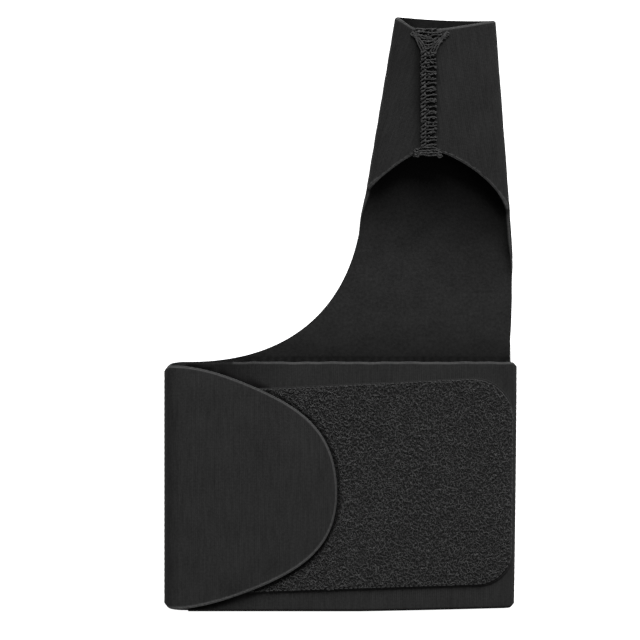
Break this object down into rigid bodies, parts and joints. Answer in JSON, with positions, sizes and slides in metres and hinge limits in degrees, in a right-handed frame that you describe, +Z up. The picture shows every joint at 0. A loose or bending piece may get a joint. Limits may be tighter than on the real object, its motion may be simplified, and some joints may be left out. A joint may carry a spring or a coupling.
{
  "type": "thumb and wrist wrap",
  "caption": "Right-hand thumb and wrist wrap in thin stretch cloth: folded wrist band with hook-and-loop tongue, curved stem and a seamed thumb sleeve.",
  "frame": {"origin": "centre of the flat underside, on the surface that the wrap lies on", "axes": "+X across the wrist band towards its right fold, +Y from the wrist towards the thumb tip, +Z up off the table; the wearer's skin side of the back layer faces +Z"},
  "size_m": [0.102, 0.172, 0.0102],
  "materials": {
    "knit": "matt fine black outer knit",
    "core": "soft grey foam core, seen as the pale line at cut edges",
    "lining": "matt brushed black lining",
    "loop": "fuzzy black loop pile",
    "loop_backing": "flat woven backing",
    "hook": "black nylon hooks",
    "hook_backing": "woven nylon tape",
    "thread": "black textured sewing thread"
  },
  "bodies": {
    "wrist_back": {"wrist_back_knit": "knit", "wrist_back_core": "core", "wrist_back_lining": "lining", "right_fold_knit": "knit", "right_fold_core": "core", "right_fold_lining": "lining", "stem_bend_knit": "knit", "stem_bend_core": "core", "stem_bend_lining": "lining", "left_fold_knit": "knit", "left_fold_core": "core", "left_fold_lining": "lining"},
    "tongue": {"tongue_knit": "knit", "tongue_core": "core", "tongue_lining": "lining", "hook_patch_backing": "hook_backing", "hook_patch_hooks": "hook"},
    "front_panel": {"front_panel_knit": "knit", "front_panel_core": "core", "front_panel_lining": "lining", "loop_patch_backing": "loop_backing", "loop_patch_pile": "loop"},
    "thumb_sleeve": {"sleeve_back_knit": "knit", "sleeve_back_core": "core", "sleeve_back_lining": "lining", "sleeve_left_fold_knit": "knit", "sleeve_left_fold_core": "core", "sleeve_left_fold_lining": "lining", "sleeve_right_fold_knit": "knit", "sleeve_right_fold_core": "core", "sleeve_right_fold_lining": "lining", "left_wing_knit": "knit", "left_wing_core": "core", "left_wing_lining": "lining", "right_wing_knit": "knit", "right_wing_core": "core", "right_wing_lining": "lining", "seam_zigzag_thread": "thread", "seam_top_tack": "thread", "seam_lower_tack": "thread"}
  },
  "joints": [
    {"name": "tongue_peel", "type": "hinge", "parent": "wrist_back", "child": "tongue", "pos_m": [-0.0459, -0.05, 0.0051], "axis": [0, -1, 0], "range_deg": [0, 179], "deforming": ["left_fold_knit", "left_fold_core", "left_fold_lining"]},
    {"name": "front_spring", "type": "hinge", "parent": "wrist_back", "child": "front_panel", "pos_m": [0.0473, -0.05, 0.0037], "axis": [0, 1, 0], "range_deg": [0, 18], "deforming": ["right_fold_knit", "right_fold_core", "right_fold_lining"]},
    {"name": "thumb_bend", "type": "hinge", "parent": "wrist_back", "child": "thumb_sleeve", "pos_m": [0, 0, 0.0022], "axis": [1, 0, 0], "range_deg": [0, 90], "deforming": ["stem_bend_knit", "stem_bend_core", "stem_bend_lining"]}
  ],
  "couplings": [
    {"joint": "front_spring", "follows": "tongue_peel", "ratio": 0.1}
  ]
}
